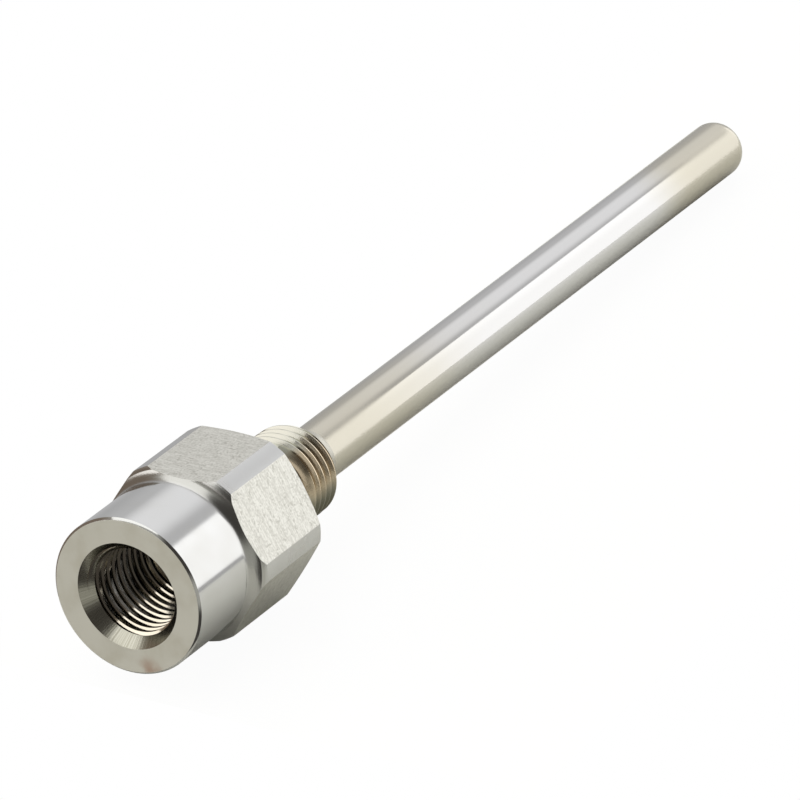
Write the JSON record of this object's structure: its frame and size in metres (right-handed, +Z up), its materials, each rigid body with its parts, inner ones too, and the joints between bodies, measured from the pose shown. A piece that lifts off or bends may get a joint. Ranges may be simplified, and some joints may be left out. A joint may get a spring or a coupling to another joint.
{
  "type": "thermowell",
  "caption": "Screw-in probe pocket with an internally threaded round head, a hexagon, an external thread and a closed tubular stem.",
  "frame": {"origin": "middle of the bounding box at its base, on the table that the part lies on", "axes": "+X along the part towards its closed tip, dipping 3.2 degrees below the horizontal; +Z up from the table, with one hexagon flat facing up and one down; +Y across the hexagon's corners"},
  "size_m": [0.1632, 0.025, 0.0238],
  "materials": {
    "turned_head": "bright turned round head, milled satin flats",
    "drawn_tube": "smooth drawn and polished, with faint straw heat tint at both ends",
    "ground_tip": "ground and polished, faint straw tint",
    "weld_metal": "smooth weld bead, lightly tinted"
  },
  "bodies": {
    "root": {"head": "turned_head", "stem_tube": "drawn_tube", "tip_plug": "ground_tip", "root_weld": "weld_metal"}
  },
  "joints": []
}
